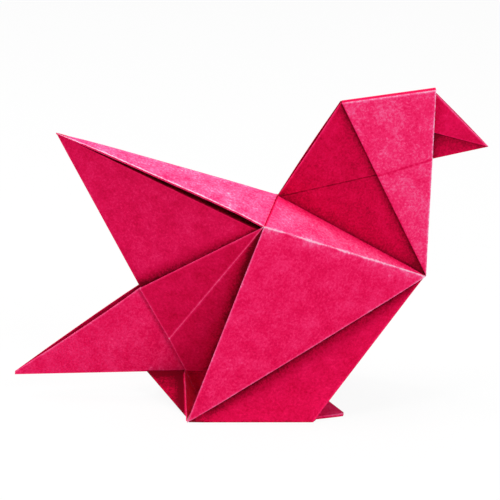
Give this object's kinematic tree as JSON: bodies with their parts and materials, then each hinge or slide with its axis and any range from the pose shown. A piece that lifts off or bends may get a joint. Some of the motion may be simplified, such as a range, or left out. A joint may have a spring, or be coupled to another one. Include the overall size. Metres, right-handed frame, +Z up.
{
  "type": "origami bird",
  "caption": "Bird folded from one sheet of crimson paper, with raised head and beak, back spike, tail and hollow body, standing on its lower edges.",
  "frame": {"origin": "centre of the bounding box in plan, at the surface the bird stands on", "axes": "+X towards the head and beak, +Z up, and the XZ plane is the middle of the bird"},
  "size_m": [0.156, 0.0524, 0.1051],
  "materials": {
    "crimson_paper": "matt, slightly fibrous"
  },
  "bodies": {
    "root": {"folded_paper_bird": "crimson_paper"}
  },
  "joints": []
}
